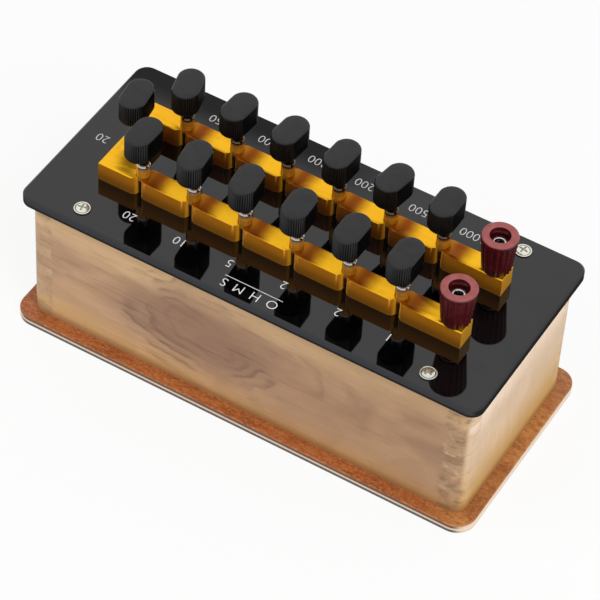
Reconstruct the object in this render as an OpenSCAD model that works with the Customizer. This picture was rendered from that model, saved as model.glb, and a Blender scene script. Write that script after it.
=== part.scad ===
// Plug-type resistance box: wooden case, black panel, brass blocks with tapered plugs, two terminals
// Millimetres. Origin at the middle of the base board's underside, +X towards the terminals, +Z up

/* [Block rows] */
// Depth of a brass block across its row
block_d = 9.6; // [8:0.1:12]
// Height of a brass block
block_h = 9.6; // [8:0.1:14]
// Gap between neighbouring blocks
block_gap = 1.4; // [0.8:0.1:2.5]
// Radius on the upright corners beside each gap
block_round = 3.2; // [1:0.1:3.8]
// Bevel along the top edges of the blocks
block_bevel = 0.4; // [0.1:0.1:0.8]
// Distance between plug holes along a row
plug_pitch = 25; // [23:0.5:34]
// Distance between the two rows, centre to centre
row_space = 34.4; // [32:0.1:50]
// Length of a corner block along its row
corner_block_l = 18.8; // [17:0.1:30]
// Length of a terminal block
end_block_l = 29.8; // [26:0.1:45]

/* [Panel] */
// Thickness of the panel
panel_t = 4.5; // [3.5:0.1:8]
// Bare panel beyond the ends of the rows
end_margin = 23.1; // [18:0.1:40]
// Bare panel beyond the sides of the rows
side_margin = 26.6; // [22:0.1:40]
// Corner radius of the panel
panel_r = 6; // [3:0.5:12]
// Bevel round the panel's top edge
panel_bevel = 0.8; // [0.2:0.1:2]

/* [Case] */
// Overhang of the panel past the walls
panel_lip = 3.4; // [2:0.1:8]
// Thickness of the front and rear walls
wall_t = 9.5; // [6:0.5:12]
// Thickness of the end walls
end_wall_t = 11; // [6:0.5:14]
// Wall height
wall_h = 66.5; // [55:0.5:120]
// Radius on the upright corners of the case
wall_r = 6.3; // [0.5:0.1:8]
// Fingers along each comb-jointed corner
comb_count = 11; // [6:1:20]
// Overhang of the base board past the walls
base_lip = 6.1; // [2:0.1:14]
// Base board thickness
base_t = 4.5; // [4:0.5:12]
// Corner radius of the base board
base_r = 9; // [3:0.5:14]
// Bevel round the base board's top edge
base_bevel = 0.5; // [0.2:0.1:2]

/* [Plugs] */
// Width of a plug head across its flat sides
head_w = 12; // [9:0.1:16]
// Length of a plug head over its round ends
head_l = 19.6; // [17:0.1:26]
// Height of a plug head
head_h = 11; // [9:0.1:16]
// Bevel round the top and bottom edges of a head
head_bevel = 0.6; // [0.2:0.1:1.5]
// Ribs on each round end of a head
rib_count = 15; // [7:1:21]
// Depth of the grooves between the ribs
rib_depth = 0.35; // [0.1:0.05:0.8]
// Arc that the ribs cover on each round end
rib_arc = 140; // [60:5:170]
// Bare pin between a block and a head
neck_h = 14.5; // [12:0.1:25]
// Pin radius above its taper
pin_r = 3; // [2.8:0.05:4]
// Thin stem between the pin's shoulder and the head
stem_l = 8; // [2:0.1:8.5]
// Step from the pin to its stem
shoulder_w = 0.7; // [0.6:0.05:0.9]
// Bevel on the pin's shoulder
shoulder_bevel = 0.45; // [0.2:0.05:0.55]
// Loss of pin radius per millimetre of taper
pin_taper = 0.06; // [0.02:0.005:0.1]
// Start of the taper above the block
taper_start = 1; // [0:0.1:2.5]
// Reach of the pin below the panel's top face
pin_tip = 3; // [1:0.1:3.4]
// Bevel on the pin's tip
tip_bevel = 0.6; // [0.2:0.1:1]
// Radius of the pin's tang inside the head
tang_r = 1.8; // [1.2:0.1:1.8]
// Length of the tang
tang_l = 7; // [4:0.1:8]

/* [Terminals] */
// Terminal to the outer end of its block
post_inset = 5.5; // [5:0.1:9]
// Knob radius below its top edge
knob_r = 8; // [7.2:0.1:11]
// Knob radius at the foot
knob_foot_r = 6.35; // [5.6:0.05:7]
// Knob height
knob_h = 18.8; // [14:0.1:28]
// Bevel round the knob's top edge
knob_bevel = 0.7; // [0.2:0.1:1.5]
// Flutes round the knob
flute_count = 18; // [8:1:24]
// Radius of a flute
flute_r = 0.95; // [0.5:0.05:1.2]
// Depth of a flute
flute_depth = 0.45; // [0.1:0.05:0.8]
// Plain band above the flutes
flute_stop = 1.3; // [0.8:0.1:4]
// Radius of the recess in the knob's top
recess_r = 4.4; // [3.8:0.05:5.5]
// Stud end below the knob's top
recess_h = 4; // [0.5:0.1:5]
// Recess floor below the stud end
recess_drop = 1.2; // [0.2:0.1:3]
// Stud radius inside the knob
post_r = 3.25; // [2.8:0.05:3.6]
// Stud radius through the block and panel
post_foot_r = 2.5; // [1.5:0.1:2.7]
// Socket radius
socket_r = 2; // [1.5:0.05:2.4]
// Socket depth
socket_l = 16; // [10:0.5:22]
// Clamp washer radius
washer_r = 5.4; // [4.6:0.1:8]
// Clamp washer thickness
washer_t = 1; // [0.5:0.1:2]
// Width of a terminal nut across its flats
post_nut_af = 8; // [6:0.5:11]
// Thickness of a terminal nut
post_nut_h = 3; // [2:0.1:5]

/* [Fixings] */
// Block screw to the end of its block
fix_edge = 5.9; // [5.3:0.1:7]
// Radius of block screws and coil studs
fix_r = 1.5; // [1:0.1:1.8]
// Reach of block screws and coil studs into a block
fix_l = 5; // [3:0.1:6.5]
// Head radius of a block screw
fix_head_r = 2.75; // [2.2:0.05:3.2]
// Head height of a block screw
fix_head_h = 2; // [1.2:0.1:3.5]
// Width of a coil nut across its flats
nut_af = 5.5; // [4.5:0.1:7]
// Thickness of a coil nut
nut_h = 2.4; // [1.6:0.1:4]
// Thread past a nut
thread_end = 1.5; // [0.5:0.1:4]
// Panel screw to the panel's end
panel_screw_inset = 27.3; // [20:0.1:60]
// Panel screw radius
panel_screw_r = 1.75; // [1:0.05:2.2]
// Reach of a panel screw into the wall
panel_screw_l = 16; // [8:0.5:22]
// Head radius of a panel screw
screw_head_r = 3.8; // [2.6:0.1:5]
// Head height of a panel screw
screw_head_h = 1.3; // [1:0.1:3]
// Height of the head's upright rim
screw_rim_h = 0.5; // [0.3:0.1:0.9]
// Radius of the head's flat crown
screw_crown_r = 3; // [2:0.1:3.4]
// Length of the cross recess in a panel screw
cross_l = 4.2; // [2:0.1:4.8]
// Width of the cross recess
cross_w = 0.9; // [0.4:0.1:1.4]
// Depth of the cross recess
cross_h = 0.8; // [0.4:0.1:1.2]
// Base screw to the end of the case
base_screw_inset = 45; // [30:0.5:80]
// Base screw radius
base_screw_r = 1.75; // [1:0.05:2.2]
// Head radius of a base screw
base_head_r = 3.5; // [2.5:0.1:4.5]
// Head height of a base screw
base_head_h = 2.2; // [1.2:0.1:3.2]
// Base screw head below the underside
base_sink = 0.3; // [0.1:0.1:0.6]
// Reach of a base screw into the wall
base_screw_l = 14; // [8:0.5:22]

/* [Coils] */
// Bobbin height
bobbin_h = 26; // [16:0.5:34]
// Flange thickness of a bobbin
flange_t = 1.5; // [1:0.1:3]
// Core radius of a bobbin
core_r = 3.2; // [2.4:0.1:4]
// Flange rim past the winding
winding_inset = 0.8; // [0.3:0.1:1.5]
// Room between a bobbin and the next screw head
bobbin_room = 1; // [0.5:0.1:3]
// Lead wire radius
lead_r = 0.4; // [0.2:0.05:0.6]
// Lead post to the bobbin's rim
lead_inset = 1.5; // [0.8:0.1:2.5]

/* [Fits] */
// Radial clearance of a pin in its tapered hole
plug_fit = 0.05; // [0.02:0.01:0.15]
// Radial clearance of a pin in the panel
pin_clear = 0.6; // [0.2:0.1:1]
// Radial clearance of the tang in the head
tang_fit = 0.05; // [0.02:0.01:0.15]
// Radial clearance of the knob on its stud
knob_fit = 0.08; // [0.03:0.01:0.2]
// Radial clearance of the washer on its stud
washer_fit = 0.15; // [0.05:0.01:0.4]
// Room between pieces that lie on each other and move apart
seat_fit = 0.05; // [0.02:0.01:0.15]
// Radial clearance of fixed screws and studs
hole_fit = 0.1; // [0.03:0.01:0.25]
// Clearance between comb fingers
comb_fit = 0.1; // [0.02:0.01:0.3]

/* [Hidden] */
$fn = 48;
// Plug gaps and blocks in a row
row_gaps = 6;
row_blocks = row_gaps + 1;
// Turn of each plug head as left by hand, left to right
front_turn = [-2, 7, 6, 3, 0, 0];
rear_turn = [14, -4, -5, -3, -9, 0];
left_turn = 8;
// Excess of a cutting tool past a face
over = 1;

// Row layout
row_l = corner_block_l + (row_gaps - 1) * plug_pitch + block_gap + end_block_l;
row_x0 = -row_l / 2;
row_y = row_space / 2;
leg_x = row_x0 + block_d / 2;
post_x = row_x0 + row_l - post_inset;
fix_x = block_gap / 2 + fix_edge;

// Panel, case and base board
panel_l = row_l + 2 * end_margin;
panel_w = row_space + block_d + 2 * side_margin;
case_l = panel_l - 2 * panel_lip;
case_w = panel_w - 2 * panel_lip;
base_l = case_l + 2 * base_lip;
base_w = case_w + 2 * base_lip;
finger_h = wall_h / comb_count;
long_wall_y = case_w / 2 - wall_t / 2;
end_wall_x = case_l / 2 - end_wall_t / 2;
panel_screw_x = panel_l / 2 - panel_screw_inset;
base_screw_x = case_l / 2 - base_screw_inset;

// Levels
panel_z = base_t + wall_h;
face_z = panel_z + panel_t;
block_z = face_z + block_h;
head_z = block_z + neck_h;
shoulder_z = head_z - stem_l;
washer_z = block_z + seat_fit;
knob_z = washer_z + washer_t + seat_fit;
post_z = knob_z + knob_h - recess_h;
tip_z = face_z - pin_tip;
taper_z = block_z + taper_start;
lead_z = panel_z - min(nut_h, fix_head_h) / 2;
bobbin_z = panel_z - nut_h - bobbin_h;

// Coil room, knob flare and plug pin
stem_r = pin_r - shoulder_w;
bobbin_r = plug_pitch - 2 * fix_x - fix_head_r - bobbin_room;
winding_r = bobbin_r - winding_inset;
lead_x = bobbin_r - lead_inset;
knob_lean = atan((knob_r - knob_foot_r) / knob_h);
head_end_r = head_w / 2;
head_end_y = head_l / 2 - head_end_r;
plain_arc = (180 - rib_arc) / 2;

function gap_x(k) = row_x0 + corner_block_l + block_gap / 2 + k * plug_pitch;
function block_x0(i) = i == 0 ? row_x0 : gap_x(i - 1) + block_gap / 2;
function block_x1(i) = i == row_gaps ? row_x0 + row_l : gap_x(i) - block_gap / 2;
function taper_r(z) = pin_r - pin_taper * max(taper_z - z, 0);
function on_end(a, r) = [r * cos(a), head_end_y + r * sin(a)];
function rib_angle(i) = plain_arc + rib_arc * i / (2 * rib_count);
function rib_radius(i) = head_end_r - (i % 2 == 0 ? 0 : rib_depth);

// Outline of the upper half of a plug head, ribs on the round end
head_half = concat(
    [on_end(0, head_end_r), on_end(plain_arc / 2, head_end_r)],
    [for (i = [0 : 2 * rib_count]) on_end(rib_angle(i), rib_radius(i))],
    [on_end(180 - plain_arc / 2, head_end_r), on_end(180, head_end_r)]
);
head_points = concat(head_half, [for (p = head_half) -p]);

// Plan of a rectangle with four round corners
module round_plan(l, w, r) {
    square([l, w - 2 * r], center = true);
    square([l - 2 * r, w], center = true);
    for (x = [-1, 1])
        for (y = [-1, 1])
            translate([x * (l / 2 - r), y * (w / 2 - r)])
                circle(r = r);
}

// Section of a plate with its top edges bevelled
module bevel_section(w, t, b) {
    polygon([[-w / 2, 0], [w / 2, 0], [w / 2, t - b], [w / 2 - b, t], [b - w / 2, t], [-w / 2, t - b]]);
}

// Plate with round corners and a bevelled top edge
module bevel_plate(l, w, t, r, b) {
    rotate([90, 0, 90])
        linear_extrude(l - 2 * r, center = true)
            bevel_section(w, t, b);
    rotate([90, 0, 0])
        linear_extrude(w - 2 * r, center = true)
            bevel_section(l, t, b);
    for (x = [-1, 1])
        for (y = [-1, 1])
            translate([x * (l / 2 - r), y * (w / 2 - r), 0])
                rotate_extrude()
                    polygon([[0, 0], [r, 0], [r, t - b], [r - b, t], [0, t]]);
}

// Children at every plug gap, with their X axis across the gap
module at_gaps() {
    for (side = [-1, 1])
        for (k = [0 : row_gaps - 1])
            translate([gap_x(k), side * row_y, 0])
                children();
    translate([leg_x, 0, 0])
        rotate([0, 0, 90])
            children();
}

// Children at the four panel screws
module at_panel_screws() {
    for (x = [-1, 1])
        for (y = [-1, 1])
            translate([x * panel_screw_x, y * long_wall_y, 0])
                children();
}

// Children at the base screws, three under each long wall and one under each end wall
module at_base_screws() {
    for (y = [-1, 1])
        for (x = [-1, 0, 1])
            translate([x * base_screw_x, y * long_wall_y, 0])
                children();
    for (x = [-1, 1])
        translate([x * end_wall_x, 0, 0])
            children();
}

module hex_nut(af, h) {
    rotate([0, 0, 30])
        cylinder(d = af / cos(30), h = h, $fn = 6);
}

// Countersunk head and shank of a base screw, grown by a clearance
module base_screw_form(fit, reach) {
    translate([0, 0, base_sink])
        cylinder(r1 = base_head_r + fit, r2 = base_screw_r + fit, h = base_head_h);
    translate([0, 0, base_sink])
        cylinder(r = base_screw_r + fit, h = base_t + reach - base_sink);
}

module base_board() {
    color("saddlebrown")
        difference() {
            bevel_plate(base_l, base_w, base_t, base_r, base_bevel);
            at_base_screws() {
                base_screw_form(hole_fit, base_screw_l);
                translate([0, 0, -over])
                    cylinder(r = base_head_r + hole_fit, h = over + base_sink);
            }
        }
}

// Room that the fingers of the neighbouring wall take up, in every second place from a start
module comb_slots(first) {
    for (i = [first : 2 : comb_count - 1])
        translate([0, 0, base_t + finger_h * (i + 0.5)])
            cube([2 * end_wall_t, 2 * wall_t, finger_h + comb_fit], center = true);
}

module case_corners() {
    for (x = [-1, 1])
        for (y = [-1, 1])
            translate([x * case_l / 2, y * case_w / 2, 0])
                children();
}

module case_bar() {
    translate([0, 0, base_t])
        linear_extrude(wall_h)
            round_plan(case_l, case_w, wall_r);
}

module wall_screw_holes() {
    at_panel_screws()
        translate([0, 0, panel_z - panel_screw_l - over])
            cylinder(r = panel_screw_r + hole_fit, h = panel_screw_l + 2 * over);
    at_base_screws()
        translate([0, 0, base_t - over])
            cylinder(r = base_screw_r + hole_fit, h = base_screw_l + 2 * over);
}

module long_wall(side) {
    color("burlywood")
        difference() {
            intersection() {
                translate([0, side * long_wall_y, base_t + wall_h / 2])
                    cube([case_l, wall_t, wall_h], center = true);
                case_bar();
            }
            case_corners()
                comb_slots(0);
            wall_screw_holes();
        }
}

module end_wall(side) {
    color("tan")
        difference() {
            intersection() {
                translate([side * end_wall_x, 0, base_t + wall_h / 2])
                    cube([end_wall_t, case_w, wall_h], center = true);
                case_bar();
            }
            case_corners()
                comb_slots(1);
            wall_screw_holes();
        }
}

module top_panel() {
    color([0.12, 0.12, 0.13])
        difference() {
            translate([0, 0, panel_z])
                bevel_plate(panel_l, panel_w, panel_t, panel_r, panel_bevel);
            translate([0, 0, panel_z - over]) {
                at_gaps() {
                    cylinder(r = taper_r(face_z) + pin_clear, h = panel_t + 2 * over);
                    for (x = [-1, 1])
                        translate([x * fix_x, 0, 0])
                            cylinder(r = fix_r + hole_fit, h = panel_t + 2 * over);
                }
                at_panel_screws()
                    cylinder(r = panel_screw_r + hole_fit, h = panel_t + 2 * over);
                for (side = [-1, 1])
                    translate([post_x, side * row_y, 0])
                        cylinder(r = post_foot_r + hole_fit, h = panel_t + 2 * over);
            }
        }
}

module panel_screws() {
    color("silver")
        at_panel_screws()
            difference() {
                union() {
                    translate([0, 0, panel_z - panel_screw_l])
                        cylinder(r = panel_screw_r, h = panel_screw_l + panel_t + screw_rim_h);
                    translate([0, 0, face_z])
                        cylinder(r = screw_head_r, h = screw_rim_h);
                    translate([0, 0, face_z + screw_rim_h])
                        cylinder(r1 = screw_head_r, r2 = screw_crown_r, h = screw_head_h - screw_rim_h);
                }
                for (a = [0, 90])
                    translate([0, 0, face_z + screw_head_h])
                        rotate([0, 0, a])
                            cube([cross_l, cross_w, 2 * cross_h], center = true);
            }
}

module base_screws() {
    color("silver")
        at_base_screws()
            base_screw_form(0, base_screw_l);
}

// Tapered plug hole, open above and below its block
module plug_hole() {
    translate([0, 0, face_z - over])
        cylinder(
            r1 = taper_r(face_z - over) + plug_fit,
            r2 = taper_r(face_z - over) + plug_fit + pin_taper * (block_h + 2 * over),
            h = block_h + 2 * over
        );
}

module fix_hole() {
    translate([0, 0, face_z - over])
        cylinder(r = fix_r + hole_fit, h = fix_l + 2 * over);
}

// Plan of a straight bar from x0 to x1, its ends round where they face a gap
module bar_plan(x0, x1, w, round_start, round_end) {
    a = x0 + (round_start ? block_round : 0);
    b = x1 - (round_end ? block_round : 0);
    translate([a, -w / 2])
        square([b - a, w]);
    translate([x0, block_round - w / 2])
        square([x1 - x0, w - 2 * block_round]);
    for (y = [-1, 1]) {
        if (round_start)
            translate([a, y * (w / 2 - block_round)])
                circle(r = block_round);
        if (round_end)
            translate([b, y * (w / 2 - block_round)])
                circle(r = block_round);
    }
}

// Bar that bevels a top edge, along X from x0 to x1
module edge_cut(x0, x1, y) {
    translate([x0, y, block_z])
        rotate([-45 * sign(y), 0, 0])
            translate([0, -over, -block_bevel / sqrt(2)])
                cube([x1 - x0, 2 * over, 2 * over]);
}

// Straight block of a row
module row_block(i, side) {
    x0 = block_x0(i);
    x1 = block_x1(i);
    ends_row = i == row_gaps;
    color("goldenrod")
        difference() {
            translate([0, side * row_y, face_z])
                linear_extrude(block_h)
                    bar_plan(x0, x1, block_d, true, !ends_row);
            translate([0, side * row_y, 0]) {
                for (y = [-1, 1])
                    edge_cut(x0 - over, x1 + over, y * block_d / 2);
                translate([gap_x(i - 1), 0, 0])
                    plug_hole();
                translate([gap_x(i - 1) + fix_x, 0, 0])
                    fix_hole();
            }
            if (ends_row)
                translate([post_x, side * row_y, face_z - over])
                    cylinder(r = post_foot_r + hole_fit, h = block_h + 2 * over);
            if (!ends_row)
                translate([gap_x(i), side * row_y, 0]) {
                    plug_hole();
                    translate([-fix_x, 0, 0])
                        fix_hole();
                }
        }
}

// L-shaped block at the start of a row, its leg turned to the other row
module corner_block(side) {
    x1 = block_x1(0);
    leg_end = row_y + block_d / 2;
    color("goldenrod")
        difference() {
            union() {
                translate([0, side * row_y, 0])
                    difference() {
                        translate([0, 0, face_z])
                            linear_extrude(block_h)
                                bar_plan(row_x0, x1, block_d, false, true);
                        edge_cut(row_x0 - over, x1 + over, -side * block_d / 2);
                    }
                translate([leg_x, 0, 0])
                    rotate([0, 0, side * 90])
                        difference() {
                            translate([0, 0, face_z])
                                linear_extrude(block_h)
                                    bar_plan(block_gap / 2, leg_end, block_d, true, false);
                            edge_cut(-over, leg_end + over, -side * block_d / 2);
                        }
            }
            translate([0, side * row_y, 0])
                edge_cut(row_x0 - over, x1 + over, side * block_d / 2);
            translate([leg_x, 0, 0])
                rotate([0, 0, side * 90]) {
                    edge_cut(-over, leg_end + over, side * block_d / 2);
                    plug_hole();
                    translate([fix_x, 0, 0])
                        fix_hole();
                }
            translate([gap_x(0), side * row_y, 0]) {
                plug_hole();
                translate([-fix_x, 0, 0])
                    fix_hole();
            }
        }
}

module block(i, side) {
    if (i == 0)
        corner_block(side);
    else
        row_block(i, side);
}

module plug_pin() {
    tip_r = taper_r(tip_z);
    color("silver")
        rotate_extrude()
            polygon([
                [0, tip_z],
                [tip_r - tip_bevel, tip_z],
                [taper_r(tip_z + tip_bevel), tip_z + tip_bevel],
                [pin_r, taper_z],
                [pin_r, shoulder_z - shoulder_bevel],
                [pin_r - shoulder_bevel, shoulder_z],
                [stem_r, shoulder_z],
                [stem_r, head_z],
                [tang_r, head_z],
                [tang_r, head_z + tang_l],
                [0, head_z + tang_l]
            ]);
}

// Room that bevels the top and bottom edges of a head: a bar between two round ends
module head_room() {
    in = head_end_r - head_bevel;
    out = head_end_r + over;
    lift = head_bevel + over;
    rotate([90, 0, 0])
        linear_extrude(2 * head_end_y, center = true)
            polygon([
                [-in, 0], [in, 0], [out, lift], [out, head_h - lift],
                [in, head_h], [-in, head_h], [-out, head_h - lift], [-out, lift]
            ]);
    for (y = [-1, 1])
        translate([0, y * head_end_y, 0])
            rotate_extrude()
                polygon([[0, 0], [in, 0], [out, lift], [out, head_h - lift], [in, head_h], [0, head_h]]);
}

module plug_head(turn) {
    color([0.2, 0.2, 0.21])
        translate([0, 0, head_z])
            rotate([0, 0, turn])
                difference() {
                    intersection() {
                        head_room();
                        translate([0, 0, -over])
                            linear_extrude(head_h + 2 * over)
                                polygon(head_points);
                    }
                    translate([0, 0, -over])
                        cylinder(r = tang_r + tang_fit, h = tang_l + tang_fit + over);
                }
}

module front_plug_pin(k) {
    translate([gap_x(k), -row_y, 0])
        plug_pin();
}

module front_plug_head(k) {
    translate([gap_x(k), -row_y, 0])
        plug_head(front_turn[k]);
}

module rear_plug_pin(k) {
    translate([gap_x(k), row_y, 0])
        plug_pin();
}

module rear_plug_head(k) {
    translate([gap_x(k), row_y, 0])
        plug_head(rear_turn[k]);
}

module left_plug_pin() {
    translate([leg_x, 0, 0])
        plug_pin();
}

module left_plug_head() {
    translate([leg_x, 0, 0])
        plug_head(left_turn);
}

// Threaded stud with a socket in its upper end, and the nut under the panel
module terminal_stud(side) {
    color("silver")
        translate([post_x, side * row_y, 0]) {
            difference() {
                translate([0, 0, block_z])
                    cylinder(r = post_r, h = post_z - block_z);
                translate([0, 0, post_z - socket_l])
                    cylinder(r = socket_r, h = socket_l + over);
            }
            translate([0, 0, panel_z - post_nut_h - thread_end])
                cylinder(r = post_foot_r, h = block_z - panel_z + post_nut_h + thread_end);
            translate([0, 0, panel_z - post_nut_h])
                hex_nut(post_nut_af, post_nut_h);
        }
}

module terminal_washer(side) {
    color("silver")
        translate([post_x, side * row_y, washer_z])
            difference() {
                cylinder(r = washer_r, h = washer_t);
                translate([0, 0, -over])
                    cylinder(r = post_r + washer_fit, h = washer_t + 2 * over);
            }
}

module terminal_knob(side) {
    bore_r = post_r + knob_fit;
    floor_h = knob_h - recess_h - recess_drop;
    color([0.45, 0.1, 0.15])
        translate([post_x, side * row_y, knob_z])
            difference() {
                rotate_extrude()
                    polygon([
                        [bore_r, 0],
                        [knob_foot_r, 0],
                        [knob_r, knob_h - knob_bevel],
                        [knob_r - knob_bevel, knob_h],
                        [recess_r, knob_h],
                        [recess_r, floor_h],
                        [bore_r, floor_h]
                    ]);
                for (i = [0 : flute_count - 1])
                    rotate([0, 0, i * 360 / flute_count])
                        translate([knob_foot_r - flute_depth + flute_r, 0, 0])
                            rotate([0, knob_lean, 0])
                                translate([0, 0, -over])
                                    cylinder(r = flute_r, h = knob_h - flute_stop + over);
            }
}

module block_screws() {
    color("silver")
        at_gaps()
            translate([-fix_x, 0, panel_z - fix_head_h]) {
                cylinder(r = fix_head_r, h = fix_head_h);
                cylinder(r = fix_r, h = fix_head_h + panel_t + fix_l);
            }
}

// Studs that hold a block from below and carry a bobbin between two nuts
module coil_studs() {
    color("silver")
        at_gaps()
            translate([fix_x, 0, 0]) {
                translate([0, 0, bobbin_z - nut_h - thread_end])
                    cylinder(r = fix_r, h = thread_end + 2 * nut_h + bobbin_h + panel_t + fix_l);
                translate([0, 0, panel_z - nut_h])
                    hex_nut(nut_af, nut_h);
                translate([0, 0, bobbin_z - nut_h])
                    hex_nut(nut_af, nut_h);
            }
}

module coil_bobbins() {
    color("peru")
        at_gaps()
            translate([fix_x, 0, bobbin_z])
                difference() {
                    union() {
                        cylinder(r = core_r, h = bobbin_h);
                        for (z = [0, bobbin_h - flange_t])
                            translate([0, 0, z])
                                cylinder(r = bobbin_r, h = flange_t);
                    }
                    translate([0, 0, -over])
                        cylinder(r = fix_r + hole_fit, h = bobbin_h + 2 * over);
                }
}

module coil_windings() {
    color("chocolate")
        at_gaps()
            translate([fix_x, 0, bobbin_z + flange_t])
                difference() {
                    cylinder(r = winding_r, h = bobbin_h - 2 * flange_t);
                    translate([0, 0, -over])
                        cylinder(r = core_r, h = bobbin_h + 2 * over);
                }
}

// Lead from a post on the bobbin's flange to a fixing, along X
module lead(from_x, to_x) {
    translate([from_x, 0, panel_z - nut_h])
        cylinder(r = lead_r, h = lead_z - panel_z + nut_h);
    translate([from_x, 0, lead_z])
        sphere(r = lead_r);
    translate([min(from_x, to_x), 0, lead_z])
        rotate([0, 90, 0])
            cylinder(r = lead_r, h = abs(to_x - from_x));
}

module lead_wires() {
    color("orange")
        at_gaps() {
            lead(fix_x + lead_x, fix_x + nut_af / 2);
            lead(fix_x - lead_x, fix_head_r - fix_x + seat_fit);
        }
}

base_board();
long_wall(-1);  // front_wall
long_wall(1);  // rear_wall
end_wall(-1);  // left_wall
end_wall(1);  // right_wall
top_panel();
panel_screws();
base_screws();
for (i = [0 : row_gaps]) {
    block(i, -1);
    block(i, 1);
}
for (k = [0 : row_gaps - 1]) {
    front_plug_pin(k);
    rear_plug_pin(k);
    front_plug_head(k);
    rear_plug_head(k);
}
left_plug_pin();
left_plug_head();
terminal_stud(-1);  // front_terminal_stud
terminal_washer(-1);  // front_terminal_washer
terminal_knob(-1);  // front_terminal_knob
terminal_stud(1);  // rear_terminal_stud
terminal_washer(1);  // rear_terminal_washer
terminal_knob(1);  // rear_terminal_knob
block_screws();
coil_studs();
coil_bobbins();
coil_windings();
lead_wires();
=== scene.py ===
import math

import bmesh
import bpy
from mathutils import Matrix, Vector


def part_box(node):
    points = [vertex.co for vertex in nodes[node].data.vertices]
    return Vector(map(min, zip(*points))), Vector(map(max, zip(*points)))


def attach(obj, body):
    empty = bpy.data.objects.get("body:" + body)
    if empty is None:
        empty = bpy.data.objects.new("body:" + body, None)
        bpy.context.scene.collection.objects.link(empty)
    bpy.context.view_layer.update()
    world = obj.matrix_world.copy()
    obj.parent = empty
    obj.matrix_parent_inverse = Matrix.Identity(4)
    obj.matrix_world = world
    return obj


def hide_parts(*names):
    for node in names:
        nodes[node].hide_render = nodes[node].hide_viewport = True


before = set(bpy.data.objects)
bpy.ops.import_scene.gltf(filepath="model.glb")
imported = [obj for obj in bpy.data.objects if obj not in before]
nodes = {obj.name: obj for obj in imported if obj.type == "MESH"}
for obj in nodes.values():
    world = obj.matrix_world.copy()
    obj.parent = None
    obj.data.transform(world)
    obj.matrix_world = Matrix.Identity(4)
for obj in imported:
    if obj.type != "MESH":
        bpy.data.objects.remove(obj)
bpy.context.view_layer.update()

scene = bpy.context.scene
scene.view_settings.view_transform = "Standard"
mm = 0.001
print("frame loaded:", len(nodes), "nodes")


def addObject(name, data):
    item = bpy.data.objects.new(name, data)
    scene.collection.objects.link(item)
    return item


# camera at the photo's place, lens for a square picture
cameraView = {
    "right": (0.85642867, 0.5142046, 0.0460821),
    "up": (-0.40685925, 0.61729543, 0.67335868),
    "back": (0.31779786, -0.5954326, 0.7378784),
    "eye": (427.022, -797.911, 945.966),  # mm from the middle of the panel's top face
    "lens": 187.9,
    "sensor": 36.0,
    "clip": (0.05, 20.0),
}
panelLow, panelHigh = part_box("top_panel")
faceZ = panelHigh.z
lens = bpy.data.cameras.new("camera")
lens.sensor_fit = "HORIZONTAL"
lens.sensor_width = cameraView["sensor"]
lens.lens = cameraView["lens"]
lens.clip_start, lens.clip_end = cameraView["clip"]
camera = addObject("camera", lens)
turn = Matrix((cameraView["right"], cameraView["up"], cameraView["back"])).transposed()
eye = Vector(cameraView["eye"]) * mm + Vector((0, 0, faceZ))
camera.matrix_world = Matrix.Translation(eye) @ turn.to_4x4()
scene.camera = camera


# small helpers for node trees, a setting is a socket's value or else the node's own
def setUp(node, settings):
    for key, value in settings.items():
        label = key.replace("_", " ")
        if label in node.inputs:
            node.inputs[label].default_value = value
        else:
            setattr(node, key, value)
    return node


def addNode(tree, kind, **settings):
    return setUp(tree.nodes.new(kind), settings)


def wire(tree, source, target):
    tree.links.new(source, target)


# outputs led to the sockets that the keys name
def drive(tree, node, **sources):
    for key, source in sources.items():
        wire(tree, source, node.inputs[key.replace("_", " ")])


# a socket takes a number, a colour or another node's output
def feed(tree, socket, value):
    if isinstance(value, tuple):
        socket.default_value = value + (1.0,)
    elif isinstance(value, (int, float)):
        socket.default_value = value
    else:
        wire(tree, value, socket)


def mathNode(tree, operation, *values):
    node = addNode(tree, "ShaderNodeMath", operation=operation)
    for socket, value in zip(node.inputs, values):
        feed(tree, socket, value)
    return node.outputs[0]


def times(tree, first, *others):
    result = first
    for other in others:
        result = mathNode(tree, "MULTIPLY", result, other)
    return result


def mix(tree, factor, first, second, blend="MIX"):
    node = addNode(tree, "ShaderNodeMix", data_type="RGBA", blend_type=blend)
    for index, value in ((0, factor), (6, first), (7, second)):  # 6 and 7 are its colours
        feed(tree, node.inputs[index], value)
    return node.outputs[2]


def ramp(tree, value, low, high, toLow=0.0, toHigh=1.0, kind="LINEAR"):
    node = addNode(tree, "ShaderNodeMapRange", interpolation_type=kind)
    wire(tree, value, node.inputs[0])
    for index, number in enumerate((low, high, toLow, toHigh)):
        node.inputs[index + 1].default_value = number
    return node.outputs[0]


def fade(tree, value, low, high, toLow=0.0, toHigh=1.0):
    return ramp(tree, value, low, high, toLow, toHigh, "SMOOTHSTEP")


# shared effect that takes a place and some values, and puts out masks
def newGroup(name, values, outputs):
    tree = bpy.data.node_groups.new(name, "ShaderNodeTree")
    tree.interface.new_socket("Vector", in_out="INPUT", socket_type="NodeSocketVector")
    for label, value in values.items():
        socket = tree.interface.new_socket(label, in_out="INPUT", socket_type="NodeSocketFloat")
        socket.default_value = value
    for label in outputs:
        tree.interface.new_socket(label, in_out="OUTPUT", socket_type="NodeSocketFloat")
    return tree, tree.nodes.new("NodeGroupInput"), tree.nodes.new("NodeGroupOutput")


def placeGroup(tree, group, vector, **values):
    node = addNode(tree, "ShaderNodeGroup", node_tree=group, **values)
    drive(tree, node, Vector=vector)
    return node


def newMaterial(name, **settings):
    material = bpy.data.materials.new(name)
    material.use_nodes = True
    tree = material.node_tree
    shader = setUp(tree.nodes["Principled BSDF"], settings)
    place = addNode(tree, "ShaderNodeTexCoord")
    return material, tree, shader, place.outputs["Object"]


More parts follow.
